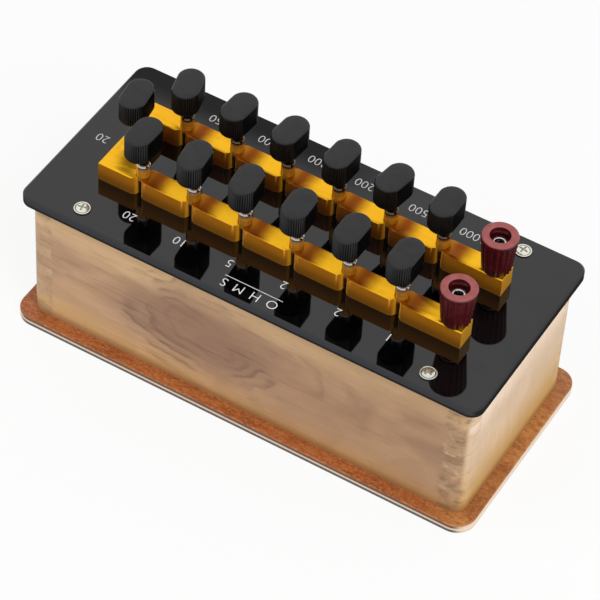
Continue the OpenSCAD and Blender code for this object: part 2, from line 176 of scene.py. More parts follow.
def bumpFrom(tree, shader, height, strength, distance):
    bump = addNode(tree, "ShaderNodeBump", Strength=strength, Distance=distance)
    drive(tree, bump, Height=height)
    drive(tree, shader, Normal=bump.outputs["Normal"])


def scaled(tree, vector, scale, offset=(0, 0, 0), spin=(0, 0, 0)):
    node = addNode(tree, "ShaderNodeMapping", Scale=scale, Location=offset, Rotation=spin)
    drive(tree, node, Vector=vector)
    return node.outputs[0]


def axes(tree, vector):
    node = addNode(tree, "ShaderNodeSeparateXYZ")
    wire(tree, vector, node.inputs[0])
    return node.outputs


def facing(tree):
    shape = addNode(tree, "ShaderNodeNewGeometry")
    return axes(tree, shape.outputs["Normal"])


# how squarely a face looks along an axis, either way
def squareTo(tree, axis):
    return mathNode(tree, "ABSOLUTE", facing(tree)[axis])


def noise(tree, vector, scale, detail, roughness, distortion=0.0, output="Fac"):
    node = addNode(tree, "ShaderNodeTexNoise", Scale=1.0, Detail=detail, Roughness=roughness,
                   Distortion=distortion)
    drive(tree, node, Vector=scaled(tree, vector, scale))
    return node.outputs[output]


# growth rings, fibres and pores of a board, X along the fibres, metres
boardScales = {
    "sway": (15.0, 9.0, 9.0),
    "ripple": (60.0, 240.0, 240.0),
    "fibre": (45.0, 1400.0, 1400.0),
    "pore": (160.0, 2600.0, 2600.0),
    "cloud": (22.0, 34.0, 34.0),
}


def makeBoardFigure():
    tree, inlet, outlet = newGroup("boardFigure", {"Ring Count": 95.0, "Sway": 0.05, "Depth": 0.03},
                                   ("Rings", "Fibres", "Pores", "Cloud"))
    vector = inlet.outputs["Vector"]
    slow = noise(tree, vector, boardScales["sway"], 2.0, 0.5)
    swayed = times(tree, mathNode(tree, "SUBTRACT", slow, 0.5), inlet.outputs["Sway"])
    deep = mathNode(tree, "ADD", times(tree, swayed, 2.0), inlet.outputs["Depth"])
    across = mathNode(tree, "ADD", axes(tree, vector)["Y"], times(tree, swayed, 0.35))
    squares = [times(tree, reach, reach) for reach in (across, deep)]
    radius = mathNode(tree, "SQRT", mathNode(tree, "ADD", *squares))
    ripple = noise(tree, vector, boardScales["ripple"], 4.0, 0.6)
    rings = times(tree, radius, inlet.outputs["Ring Count"])
    saw = mathNode(tree, "FRACT", mathNode(tree, "ADD", rings, times(tree, ripple, 0.5)))
    early = fade(tree, saw, 0.0, 0.75)
    late = fade(tree, saw, 0.82, 1.0, 1.0, 0.0)
    pore = noise(tree, vector, boardScales["pore"], 2.0, 0.5)
    drive(tree, outlet, Rings=times(tree, early, late), Pores=fade(tree, pore, 0.62, 0.72),
          Fibres=noise(tree, vector, boardScales["fibre"], 6.0, 0.65),
          Cloud=noise(tree, vector, boardScales["cloud"], 3.0, 0.55, 0.4))
    return tree


grainRatio = 14.0  # how much finer the grain is than the blotches


# soft blotches and a fine grain
def makeMottle():
    tree, inlet, outlet = newGroup("mottle", {"Size": 300.0}, ("Blotch", "Grain"))
    size = inlet.outputs["Size"]
    finer = times(tree, size, grainRatio)
    for label, scale, detail, roughness in (("Blotch", size, 3.0, 0.55), ("Grain", finer, 4.0, 0.7)):
        cloud = addNode(tree, "ShaderNodeTexNoise", Detail=detail, Roughness=roughness)
        drive(tree, cloud, Vector=inlet.outputs["Vector"], Scale=scale)
        wire(tree, cloud.outputs["Fac"], outlet.inputs[label])
    return tree


# settled dust and faint smears, the dust on faces that look up
dustScales = {"speck": 900.0, "patch": (70.0, 70.0, 70.0), "wipe": (26.0, 44.0, 44.0)}


def makeDust():
    tree, inlet, outlet = newGroup("dust", {"Amount": 0.3}, ("Dust", "Smear"))
    vector, amount = inlet.outputs["Vector"], inlet.outputs["Amount"]
    upward = fade(tree, facing(tree)["Z"], 0.4, 0.95)
    speck = addNode(tree, "ShaderNodeTexVoronoi", Scale=dustScales["speck"], Randomness=1.0)
    drive(tree, speck, Vector=vector)
    near = fade(tree, speck.outputs["Distance"], 0.03, 0.14, 1.0, 0.0)
    patch = noise(tree, vector, dustScales["patch"], 4.0, 0.6)
    thick = fade(tree, patch, 0.48, 0.7)
    wipe = noise(tree, vector, dustScales["wipe"], 5.0, 0.6, 1.2)
    drive(tree, outlet, Dust=times(tree, near, thick, upward, amount),
          Smear=times(tree, fade(tree, wipe, 0.45, 0.75), amount))
    return tree


# lathe or file marks along one direction of the scaled vector
markScales = {"marks": (1.0, 1.0, 1.0), "tarnish": (0.09, 0.09, 0.09)}


def makeToolMarks():
    tree, inlet, outlet = newGroup("toolMarks", {}, ("Marks", "Tarnish"))
    vector = inlet.outputs["Vector"]
    drive(tree, outlet, Marks=noise(tree, vector, markScales["marks"], 5.0, 0.7),
          Tarnish=noise(tree, vector, markScales["tarnish"], 4.0, 0.6, 0.6))
    return tree


boardFigure = makeBoardFigure()
mottle = makeMottle()
dust = makeDust()
toolMarks = makeToolMarks()
print("shared effects ready")

wallLow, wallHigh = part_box("front_wall")
combSpare = 1.5 * mm  # stain starts this far before a comb joint
caseWood = {
    "mauve": (0.30, 0.158, 0.09),  # heartwood
    "line": (0.15, 0.075, 0.04),
    "pore": (0.33, 0.18, 0.09),
    # painted shade along the foot of the walls, where they meet the base
    "foot": (0.27, 0.115, 0.033),
    "footReach": 6 * mm,
    "glue": (0.20, 0.11, 0.05),  # stain about the comb joints
    "patch": (0.60, 0.41, 0.21),
    "jointReach": 2.5 * mm,
    "stainFade": (-100 * mm, 100 * mm),
    "rightTone": (0.82, 0.79, 0.76),
    "rightFade": (-60 * mm, 50 * mm),
    "ringTone": (0.72, 0.66, 0.6),
    "fibreTone": (0.8, 0.76, 0.7),
    "roughness": (0.4, 0.56),
    "index": 1.48,
    "bump": (0.25, 0.2 * mm),
    "driftScale": (14.0, 14.0, 26.0),
    "endScale": (900.0, 900.0, 900.0),
    "blotchScale": (130.0, 130.0, 210.0),
    "warpScale": (24.0, 24.0, 34.0),
    "knotScale": (38.0, 38.0, 52.0),
    "streakScale": (26.0, 26.0, 330.0),
}
longBoard = {
    "along": "X",
    "spin": (math.radians(90), 0, 0),
    "offset": (0.012, 0.004, 0.0),
    "upper": (0.70, 0.455, 0.235),
    "middle": (0.55, 0.33, 0.18),
    "sap": (0.64, 0.385, 0.17),  # sapwood along the foot
    "sapShare": (0.08, 0.26),
    "endPale": (0.74, 0.53, 0.34),
    "endDark": (0.58, 0.40, 0.24),
    "endSap": (0.60, 0.36, 0.125),
    "heart": 0.6,
    "comb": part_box("right_wall")[0].x - combSpare,
    "knot": (-24 * mm, 40.5 * mm),  # middle of the swirl in X and Z
    "knotReach": (46 * mm, 23.5 * mm),
}
endBoard = {
    "along": "Y",
    "spin": (math.radians(90), 0, math.radians(90)),
    "offset": (0.11, 0.02, 0.05),
    "upper": (0.95, 0.77, 0.60),
    "middle": (0.74, 0.53, 0.34),
    "sap": (0.60, 0.345, 0.10),
    "sapShare": (0.16, 0.5),
    "endPale": (0.56, 0.36, 0.195),
    "endDark": (0.43, 0.265, 0.14),
    "heart": 0.12,
    "comb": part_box("rear_wall")[0].y - combSpare,
    "knot": None,
}


# swirl of rings in the heartwood, mirrored on the far board
def addSwirl(tree, place, parts, board, colour, fibres):
    side = times(tree, mathNode(tree, "SIGN", parts["Y"]), -1.0)
    warp = axes(tree, noise(tree, place, caseWood["warpScale"], 3.0, 0.55, output="Color"))
    offsets = []
    for value, middle, reach, bend, amount in (
        (times(tree, parts["X"], side), board["knot"][0], board["knotReach"][0], warp["X"], 1.0),
        (parts["Z"], board["knot"][1], board["knotReach"][1], warp["Y"], 1.1),
    ):
        away = mathNode(tree, "DIVIDE", mathNode(tree, "SUBTRACT", value, middle), reach)
        away = mathNode(tree, "ADD", away, times(tree, mathNode(tree, "SUBTRACT", bend, 0.5), amount))
        offsets.append(times(tree, away, away))
    span = mathNode(tree, "SQRT", mathNode(tree, "ADD", *offsets))
    colour = mix(tree, fade(tree, span, 0.4, 1.3, 0.85, 0.0), colour, caseWood["mauve"])
    phase = mathNode(tree, "FRACT", mathNode(tree, "ADD", times(tree, span, 4.4), times(tree, fibres, 0.5)))
    patch = noise(tree, place, caseWood["knotScale"], 3.0, 0.6)
    line = times(tree, fade(tree, phase, 0.3, 0.9), ramp(tree, phase, 0.9, 1.0, 1.0, 0.0),
                 fade(tree, patch, 0.44, 0.64),
                 ramp(tree, span, 0.2, 0.7, 0.3, 1.0), ramp(tree, span, 1.0, 1.5, 0.6, 0.0))
    colour = mix(tree, line, colour, caseWood["line"])
    streak = noise(tree, place, caseWood["streakScale"], 4.0, 0.6, 0.8)
    streak = times(tree, fade(tree, streak, 0.52, 0.7), ramp(tree, span, 0.5, 1.6, 0.45, 0.12))
    return mix(tree, streak, colour, caseWood["line"])


# wall board whose fibres run along one axis, darker where they are cut across
def makeCaseWood(name, board):
    material, tree, shader, place = newMaterial(name, IOR=caseWood["index"])
    laid = scaled(tree, place, (1, 1, 1), board["offset"], board["spin"])
    figure = placeGroup(tree, boardFigure, laid)
    rings, fibres, pores, cloud = [figure.outputs[label] for label in ("Rings", "Fibres", "Pores", "Cloud")]
    parts = axes(tree, place)
    drift = mathNode(tree, "SUBTRACT", noise(tree, place, caseWood["driftScale"], 3.0, 0.5), 0.5)
    height = ramp(tree, parts["Z"], wallLow.z, wallHigh.z)
    share = mathNode(tree, "ADD", height, times(tree, drift, 0.4))
    colour = mix(tree, fade(tree, share, 0.5, 0.92), board["middle"], board["upper"])
    heart = times(tree, fade(tree, share, 0.25, 0.45), fade(tree, share, 0.55, 0.9, 1.0, 0.0),
                  fade(tree, cloud, 0.36, 0.62, 0.0, board["heart"]))
    colour = mix(tree, heart, colour, caseWood["mauve"])
    colour = mix(tree, fade(tree, share, *board["sapShare"], 0.9, 0.0), colour, board["sap"])
    rightward = fade(tree, parts["X"], *caseWood["rightFade"])
    if board["knot"]:
        colour = addSwirl(tree, place, parts, board, colour, fibres)
        colour = mix(tree, rightward, colour, caseWood["rightTone"], "MULTIPLY")
    streak = ramp(tree, rings, 0.2, 1.0, 0.0, 0.22)
    colour = mix(tree, streak, colour, caseWood["ringTone"], "MULTIPLY")
    streak = ramp(tree, fibres, 0.35, 0.75, 0.0, 0.5)
    colour = mix(tree, streak, colour, caseWood["fibreTone"], "MULTIPLY")
    colour = mix(tree, times(tree, pores, 0.3), colour, caseWood["pore"])
    grain = noise(tree, place, caseWood["endScale"], 5.0, 0.75)
    ends = mix(tree, ramp(tree, grain, 0.3, 0.7), board["endDark"], board["endPale"])
    if board["knot"]:
        ends = mix(tree, fade(tree, share, *endBoard["sapShare"], 0.9, 0.0), ends, board["endSap"])
    else:
        ends = mix(tree, rightward, ends, caseWood["rightTone"], "MULTIPLY")
    colour = mix(tree, fade(tree, squareTo(tree, board["along"]), 0.55, 0.85), colour, ends)
    reach = mathNode(tree, "ABSOLUTE", parts[board["along"]])
    joint = times(tree, fade(tree, reach, board["comb"], board["comb"] + caseWood["jointReach"]),
                  fade(tree, squareTo(tree, "Y"), 0.4, 0.85, 0.2, 1.0))
    blotch = noise(tree, place, caseWood["blotchScale"], 4.0, 0.65)
    pale = times(tree, joint, fade(tree, blotch, 0.32, 0.43, 0.7, 0.0))
    colour = mix(tree, pale, colour, caseWood["patch"])
    stain = times(tree, joint, ramp(tree, parts["X"], *caseWood["stainFade"], 0.4, 1.0),
                  fade(tree, blotch, 0.46, 0.68, 0.0, 0.8))
    colour = mix(tree, stain, colour, caseWood["glue"])
    # painted shade darkening the walls towards their foot
    foot = fade(tree, parts["Z"], wallLow.z, wallLow.z + caseWood["footReach"], 0.6, 0.0)
    drive(tree, shader, Base_Color=mix(tree, foot, colour, caseWood["foot"]),
          Roughness=ramp(tree, fibres, 0.2, 0.8, *caseWood["roughness"]))
    bumpFrom(tree, shader, mathNode(tree, "SUBTRACT", fibres, pores), *caseWood["bump"])
    return material


bobbinWood = {
    "pale": (0.42, 0.24, 0.12),
    "dark": (0.24, 0.12, 0.05),
    "sheen": {"Roughness": 0.55, "IOR": 1.48},
    "bump": (0.2, 0.2 * mm),
    "offset": (0.3, 0.1, 0.0),
    "spin": (0, math.radians(90), 0),
}


def makeBobbinWood():
    material, tree, shader, place = newMaterial("bobbinWood", **bobbinWood["sheen"])
    board = scaled(tree, place, (1, 1, 1), bobbinWood["offset"], bobbinWood["spin"])
    fibres = placeGroup(tree, boardFigure, board).outputs["Fibres"]
    colour = mix(tree, ramp(tree, fibres, 0.3, 0.7), bobbinWood["pale"], bobbinWood["dark"])
    drive(tree, shader, Base_Color=colour)
    bumpFrom(tree, shader, fibres, *bobbinWood["bump"])
    return material


basePly = {
    "veneer": (0.37, 0.098, 0.024),
    "veneerDark": (0.21, 0.05, 0.013),
    "veneerPale": (0.50, 0.185, 0.055),
    "veneerEnd": (0.62, 0.29, 0.083),  # yellower towards the right end
    "endFade": (85 * mm, 109 * mm),
    "skinTop": (0.11, 0.045, 0.018),
    # bottom ply dark, and its dark band also painted shadow along the floor
    "skinFoot": (0.09, 0.06, 0.042),
    "core": (0.80, 0.68, 0.55),
    "coreDark": (0.62, 0.48, 0.36),
    "endEdge": (0.86, 0.70, 0.53),  # plies sanded pale on the ends
    "plies": (0.33, 0.58),  # pale ply from and to, as shares of the board's height
    "plyFade": 0.03,
    "rings": 240.0,
    "fleck": ((0.4, 1, 1), 420.0),  # stretch and size
    "speck": ((0.55, 1, 1), 1150.0),
    "roughness": (0.34, 0.52),
    "index": 1.5,
    "bump": (0.2, 0.15 * mm),
}


# three-ply board: orange veneer on the faces, dark and pale plies on the edge
def makeBasePly(low, high):
    material, tree, shader, place = newMaterial("basePly", IOR=basePly["index"])
    figure = placeGroup(tree, boardFigure, place, Ring_Count=basePly["rings"])
    coarse, fine = [placeGroup(tree, mottle, scaled(tree, place, stretch), Size=size)
                    for stretch, size in (basePly["fleck"], basePly["speck"])]
    flecks, specks = coarse.outputs["Blotch"], fine.outputs["Blotch"]
    fibres, grain = figure.outputs["Fibres"], coarse.outputs["Grain"]
    parts = axes(tree, place)
    colour = mix(tree, ramp(tree, fibres, 0.4, 0.75), basePly["veneer"], basePly["veneerPale"])
    for mask, tone in (
        (fade(tree, parts["X"], *basePly["endFade"], 0.0, 0.75), "veneerEnd"),
        (fade(tree, figure.outputs["Cloud"], 0.4, 0.68, 0.0, 0.6), "veneerDark"),
        (ramp(tree, flecks, 0.42, 0.66, 0.0, 0.6), "veneerDark"),
        (ramp(tree, specks, 0.5, 0.68, 0.0, 0.8), "veneerPale"),
        (ramp(tree, specks, 0.33, 0.47, 0.6, 0.0), "veneerDark"),
    ):
        colour = mix(tree, mask, colour, basePly[tone])
    share = ramp(tree, parts["Z"], low, high)
    soft = basePly["plyFade"]
    foot, top = [ramp(tree, share, level - soft, level + soft) for level in basePly["plies"]]
    core = mix(tree, ramp(tree, grain, 0.3, 0.7), basePly["core"], basePly["coreDark"])
    edge = mix(tree, foot, basePly["skinFoot"], core)
    edge = mix(tree, top, edge, basePly["skinTop"])
    edge = mix(tree, fade(tree, squareTo(tree, "X"), 0.25, 0.8, 0.0, 0.85), edge, basePly["endEdge"])
    side = ramp(tree, squareTo(tree, "Z"), 0.3, 0.5, 1.0, 0.0)
    drive(tree, shader, Base_Color=mix(tree, side, colour, edge),
          Roughness=ramp(tree, grain, 0.2, 0.8, *basePly["roughness"]))
    bumpFrom(tree, shader, fibres, *basePly["bump"])
    return material


panelSheet = {
    "black": (0.0005, 0.0005, 0.0007),
    "grey": (0.0016, 0.0016, 0.0019),
    "dust": (0.25, 0.25, 0.25),
    "dustAmount": 0.1,
    "edge": (0.046, 0.049, 0.056),
    "edgeLow": (0.02, 0.018, 0.018),  # edge at its foot and on the ends
    "edgeFoot": (0.9 * mm, 1.7 * mm),
    "sheen": {"IOR": 1.5, "Specular_IOR_Level": 0.0, "Coat_Roughness": 0.04, "Coat_IOR": 1.57},
    "dull": (0.4, 0.55),
    "rearDim": 0.65,  # coat weakened towards the rear left, a painted dark reflection
    "rearDimY": (24.0 * mm, 42.0 * mm),
    "rearDimX": (-20.0 * mm, 34.0 * mm),
    "blotchSize": 60.0,
    "bump": (0.02, 0.4 * mm),
}


# polished on the faces, dull where the edge is sawn
def makePanelSheet(low):
    material, tree, shader, place = newMaterial("panelSheet", **panelSheet["sheen"])
    marks = placeGroup(tree, mottle, place, Size=panelSheet["blotchSize"])
    blotch = marks.outputs["Blotch"]
    settled = placeGroup(tree, dust, place, Amount=panelSheet["dustAmount"])
    parts = axes(tree, place)
    colour = mix(tree, ramp(tree, blotch, 0.35, 0.7), panelSheet["black"], panelSheet["grey"])
    colour = mix(tree, settled.outputs["Dust"], colour, panelSheet["dust"])
    sawn = ramp(tree, squareTo(tree, "Z"), 0.5, 0.8, 1.0, 0.0)
    foot = fade(tree, parts["Z"], *[low + height for height in panelSheet["edgeFoot"]], 1.0, 0.0)
    ends = fade(tree, squareTo(tree, "X"), 0.45, 0.8)
    edge = mix(tree, mathNode(tree, "MAXIMUM", foot, ends), panelSheet["edge"], panelSheet["edgeLow"])
    clean = mathNode(tree, "SUBTRACT", 1.0, mathNode(tree, "MAXIMUM", sawn, settled.outputs["Dust"]))
    smear = ramp(tree, settled.outputs["Smear"], 0.0, 0.1, 1.0, 0.93)
    # painted reflection: less coat towards the rear left, so the sheet looks darker there
    dimmed = times(tree, fade(tree, parts["Y"], *panelSheet["rearDimY"], 0.0, panelSheet["rearDim"]),
                 fade(tree, parts["X"], *panelSheet["rearDimX"], 1.0, 0.0))
    undimmed = mathNode(tree, "SUBTRACT", 1.0, dimmed)
    drive(tree, shader, Base_Color=mix(tree, sawn, colour, edge),
          Roughness=ramp(tree, marks.outputs["Grain"], 0.3, 0.7, *panelSheet["dull"]),
          Coat_Weight=times(tree, clean, smear, undimmed))
    bumpFrom(tree, shader, blotch, *panelSheet["bump"])
    return material


blockBrass = {
    # top painted lighter than the sides, as painted light from above
    "top": (1.0, 0.535, 0.015),
    "warm": (0.88, 0.36, 0.010),
    "dull": (0.50, 0.20, 0.02),
    "reflectedHead": (0.27, 0.12, 0.04),  # painted reflection of the plug head, multiplied into the top beside a plug seat
    "dimFrom": (0.1, 0.24),  # shares of the length of a middle block
    "dimTo": (0.28, 0.63),
    "dimLeft": 0.83,  # share of it at the left end
    # sides painted darker than the top; darker still low down, a painted reflection of the dark panel; lighter
    # where they face right, painted light
    "side": (0.56, 0.20, 0.006),
    "sideLow": (0.31, 0.115, 0.005),
    "sideRight": (0.80, 0.38, 0.016),
    "seatWallLit": (1.0, 0.56, 0.08),  # wall of a plug seat, painted lighter as painted light
    "rowShade": (0.42, 0.34, 0.3),  # painted shade on the near sides of the rear row
    "metal": (0.35, 0.9),  # sides, top
    "polish": (0.27, 0.36),
    "fileScale": (220.0, 2600.0, 2600.0),
    "blotchSize": 160.0,
    "bump": (0.025, 0.1 * mm),
}


# lacquered brass with painted light: its top lighter than the sides, the sides darker low down and lighter
# facing right, a painted reflection of the plug head darkening the top beside a plug seat, and painted shade on
# the near sides of the rear row if asked, stretch is the block's length over a middle block's
def makeBlockBrass(name, seated, rowShade, stretch=1.0):
    material, tree, shader, place = newMaterial(name)
    filed = placeGroup(tree, toolMarks, scaled(tree, place, blockBrass["fileScale"]))
    blotch = placeGroup(tree, mottle, place, Size=blockBrass["blotchSize"]).outputs["Blotch"]
    along = axes(tree, addNode(tree, "ShaderNodeTexCoord").outputs["Generated"])
    way = facing(tree)
    upward = fade(tree, way["Z"], 0.2, 0.8)
    warm = fade(tree, filed.outputs["Tarnish"], 0.42, 0.75, 0.0, 0.5)
    tops = mix(tree, warm, blockBrass["top"], blockBrass["warm"])
    sides = mix(tree, fade(tree, along["Z"], 0.15, 0.8), blockBrass["sideLow"], blockBrass["side"])
    sides = mix(tree, fade(tree, way["X"], 0.5, 0.9), sides, blockBrass["sideRight"])
    if seated:
        # painted reflection of the plug head: the top darkened left of its middle
        share = times(tree, along["X"], stretch)
        away = mathNode(tree, "ADD", share, ramp(tree, blotch, 0.3, 0.7, -0.03, 0.03))
        headReflection = times(tree, fade(tree, away, *blockBrass["dimTo"], 1.0, 0.0),
                    fade(tree, share, *blockBrass["dimFrom"], blockBrass["dimLeft"], 1.0))
        tops = mix(tree, headReflection, tops, blockBrass["reflectedHead"], "MULTIPLY")
        # painted light on the walls of a plug seat
        sides = mix(tree, fade(tree, way["X"], -0.8, -0.3, 1.0, 0.0), sides, blockBrass["seatWallLit"])
    if rowShade:
        # painted shade on the sides that face the front
        near = fade(tree, way["Y"], -0.8, -0.3, 1.0, 0.0)
        sides = mix(tree, near, sides, blockBrass["rowShade"], "MULTIPLY")
    colour = mix(tree, upward, sides, tops)
    colour = mix(tree, fade(tree, blotch, 0.6, 0.8, 0.0, 0.3), colour, blockBrass["dull"])
    metal = ramp(tree, upward, 0.0, 1.0, *blockBrass["metal"])
    rough = mathNode(tree, "ADD", ramp(tree, filed.outputs["Marks"], 0.3, 0.7, *blockBrass["polish"]),
                     ramp(tree, blotch, 0.55, 0.8, 0.0, 0.08))
    drive(tree, shader, Base_Color=colour, Metallic=metal, Roughness=rough)
    bumpFrom(tree, shader, filed.outputs["Marks"], *blockBrass["bump"])
    return material


turnedScale = (300.0, 300.0, 5200.0)  # lathe marks round an upright axis
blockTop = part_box("front_block_2")[1].z
pinMetal = {
    "front": (0.52, 0.46, 0.41),  # plating at the shoulder
    # plating painted dark on the rear row, as painted shade
    "rear": (0.12, 0.085, 0.06),
    "stem": (0.06, 0.042, 0.03),
    "stemAbove": 7.7 * mm,  # from the head's underside down
    "stemFade": 0.6 * mm,
    # amber low on the pin: worn brass, and partly a painted reflection of the brass blocks
    "worn": (0.70, 0.30, 0.024),
    "dark": (0.36, 0.14, 0.010),
    "wornMetal": 0.35,
    "wornBelow": 9.1 * mm,  # from the head's underside down
    "wornFade": (-1.5 * mm, 0.8 * mm),
    "gapShade": (0.035, 0.015, 0.005),  # painted shade down in the gap between two blocks
    "gapShadeBelow": (3.0 * mm, 0.4 * mm),  # from the blocks' top face down
    "polish": (0.12, 0.24),
    "bump": (0.08, 0.1 * mm),
}


# plated shoulder, worn to brass where the plug seats and partly a painted reflection of the blocks there, dark
# stem above, and painted shade on the tip in the gap between blocks
def makePinMetal(name, plated, headZ):
    material, tree, shader, place = newMaterial(name)
    turned = placeGroup(tree, toolMarks, scaled(tree, place, turnedScale))
    marks = turned.outputs["Marks"]
    level = axes(tree, place)["Z"]
    tarnish = ramp(tree, turned.outputs["Tarnish"], 0.35, 0.7)
    worn = mix(tree, tarnish, pinMetal["worn"], pinMetal["dark"])
    full, none = [blockTop - depth for depth in pinMetal["gapShadeBelow"]]
    # painted shade on the pin in the gap between blocks
    worn = mix(tree, fade(tree, level, full, none, 1.0, 0.0), worn, pinMetal["gapShade"])
    below, above = [headZ - pinMetal["wornBelow"] + reach for reach in pinMetal["wornFade"]]
    plate = fade(tree, level, below, above)
    colour = mix(tree, plate, worn, plated)
    edge = headZ - pinMetal["stemAbove"]
    stem = ramp(tree, level, edge, edge + pinMetal["stemFade"])
    drive(tree, shader, Base_Color=mix(tree, stem, colour, pinMetal["stem"]),
          Metallic=ramp(tree, plate, 0.0, 1.0, pinMetal["wornMetal"], 1.0),
          Roughness=ramp(tree, marks, 0.3, 0.7, *pinMetal["polish"]))
    bumpFrom(tree, shader, marks, *pinMetal["bump"])
    return material


studNickel = {"bright": (0.86, 0.84, 0.82), "dull": (0.66, 0.62, 0.58), "polish": (0.135, 0.252)}
washerDull = {"bright": (0.24, 0.17, 0.12), "dull": (0.12, 0.08, 0.06), "polish": (0.225, 0.42)}
screwSteel = {"bright": (0.84, 0.82, 0.75), "dull": (0.62, 0.59, 0.52), "polish": (0.195, 0.364)}
panHeadSteel = {"bright": (0.80, 0.78, 0.70), "dull": (0.60, 0.57, 0.49), "polish": (0.165, 0.308)}
turnedBump = (0.12, 0.1 * mm)
headFootShade ={"colour": (0.035, 0.03, 0.024), "full": 0.44 * mm, "none": 0.56 * mm}  # painted shade at the foot of heads on the panel, heights above the panel


# turned metal, with painted shade in the low places of heads on the panel if asked
def makePlatedMetal(name, metal, footShaded=False):
    material, tree, shader, place = newMaterial(name, Metallic=1.0)
    turned = placeGroup(tree, toolMarks, scaled(tree, place, turnedScale))
    marks = turned.outputs["Marks"]
    tarnish = fade(tree, turned.outputs["Tarnish"], 0.4, 0.7, 0.0, 0.8)
    colour = mix(tree, tarnish, metal["bright"], metal["dull"])
    if footShaded:
        level = axes(tree, place)["Z"]
        # painted shade near the panel
        low = ramp(tree, level, faceZ + headFootShade["full"], faceZ + headFootShade["none"], 1.0, 0.0)
        colour = mix(tree, low, colour, headFootShade["colour"])
    drive(tree, shader, Base_Color=colour, Roughness=ramp(tree, marks, 0.3, 0.7, *metal["polish"]))
    bumpFrom(tree, shader, marks, *turnedBump)
    return material


headLow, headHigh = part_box("front_plug_1_head")
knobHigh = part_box("front_terminal_knob")[1]
headMoulding = {
    "side": (0.0015, 0.0015, 0.0018),
    "sideWorn": (0.004, 0.004, 0.0045),
    "top": (0.004, 0.004, 0.0045),
    "topWorn": (0.011, 0.011, 0.0115),
    "topFrom": headHigh.z - 1.4 * mm,
    "dust": (0.10, 0.10, 0.10),
    "dustAmount": 0.2,
    "roughness": (0.3, 0.42),  # sides, top
    "sheen": {"Specular_IOR_Level": 0.0, "Coat_IOR": 1.43, "Coat_Roughness": 0.38},
    "flatSheen": 0.12,  # share left on the flat sides
    "bump": (0.12, 0.06 * mm),
}
knobMoulding = {
    "side": (0.045, 0.0012, 0.0025),
    "sideWorn": (0.08, 0.0035, 0.006),
    # top painted paler than the dark sides, as painted light from above
    "top": (0.27, 0.055, 0.055),
    "topWorn": (0.36, 0.10, 0.095),
    "topFrom": knobHigh.z - 1.6 * mm,
    "dust": (0.45, 0.27, 0.26),
    "dustAmount": 0.25,
    "roughness": (0.26, 0.4),
    "sheen": {"IOR": 1.43},
    "flatSheen": None,
    "bump": (0.12, 0.05 * mm),
}
mouldingSkin = {"blotchSize": 260.0, "topFade": 0.8 * mm, "uneven": (0.82, 1.18), "flat": (0.82, 0.95)}


# moulded plastic, its top painted paler than the dark sides as painted light from above, and paler in blotches
# where hands and dust dull it
def makeMoulding(name, finish):
    material, tree, shader, place = newMaterial(name, **finish["sheen"])
    skin = placeGroup(tree, mottle, place, Size=mouldingSkin["blotchSize"])
    grain = skin.outputs["Grain"]
    settled = placeGroup(tree, dust, place, Amount=finish["dustAmount"])
    worn = ramp(tree, skin.outputs["Blotch"], 0.3, 0.72)
    sides = mix(tree, worn, finish["side"], finish["sideWorn"])
    tops = mix(tree, worn, finish["top"], finish["topWorn"])
    start = finish["topFrom"]
    high = ramp(tree, axes(tree, place)["Z"], start, start + mouldingSkin["topFade"])
    crown = times(tree, fade(tree, facing(tree)["Z"], 0.3, 0.9), high)
    # painted light: top colour paler than the sides
    colour = mix(tree, crown, sides, tops)
    colour = mix(tree, settled.outputs["Dust"], colour, finish["dust"])
    rough = times(tree, ramp(tree, crown, 0.0, 1.0, *finish["roughness"]),
                  ramp(tree, grain, 0.25, 0.75, *mouldingSkin["uneven"]))
    drive(tree, shader, Base_Color=colour, Roughness=rough)
    if finish["flatSheen"] is not None:
        flat = fade(tree, squareTo(tree, "X"), *mouldingSkin["flat"], 1.0, finish["flatSheen"])
        drive(tree, shader, Coat_Weight=mathNode(tree, "MAXIMUM", crown, flat))
    bumpFrom(tree, shader, grain, *finish["bump"])
    return material


letterPaint = {
    "white": (0.84, 0.84, 0.82),
    "thin": (0.55, 0.55, 0.55),
    "roughness": 0.5,
    "blotchSize": 700.0,
    "bump": (0.1, 0.05 * mm),
}


def makeLetterPaint():
    material, tree, shader, place = newMaterial("letterPaint", Roughness=letterPaint["roughness"])
    coat = placeGroup(tree, mottle, place, Size=letterPaint["blotchSize"])
    thin = ramp(tree, coat.outputs["Blotch"], 0.5, 0.8)
    drive(tree, shader, Base_Color=mix(tree, thin, letterPaint["white"], letterPaint["thin"]))
    bumpFrom(tree, shader, coat.outputs["Grain"], *letterPaint["bump"])
    return material


windingWire = {"bright": (0.62, 0.33, 0.14), "dull": (0.22, 0.10, 0.04), "dullness": 0.4}
leadCopper = {"bright": (0.85, 0.50, 0.32), "dull": (0.55, 0.28, 0.16), "dullness": 0.3}
wireSkin = {"scale": (60.0, 60.0, 9000.0), "metal": 0.8, "bump": (0.5, 0.3 * mm)}


def makeWire(name, metal):
    material, tree, shader, place = newMaterial(name, Metallic=wireSkin["metal"], Roughness=metal["dullness"])
    marks = placeGroup(tree, toolMarks, scaled(tree, place, wireSkin["scale"])).outputs["Marks"]
    colour = mix(tree, ramp(tree, marks, 0.35, 0.65), metal["dull"], metal["bright"])
    drive(tree, shader, Base_Color=colour)
    bumpFrom(tree, shader, marks, *wireSkin["bump"])
    return material


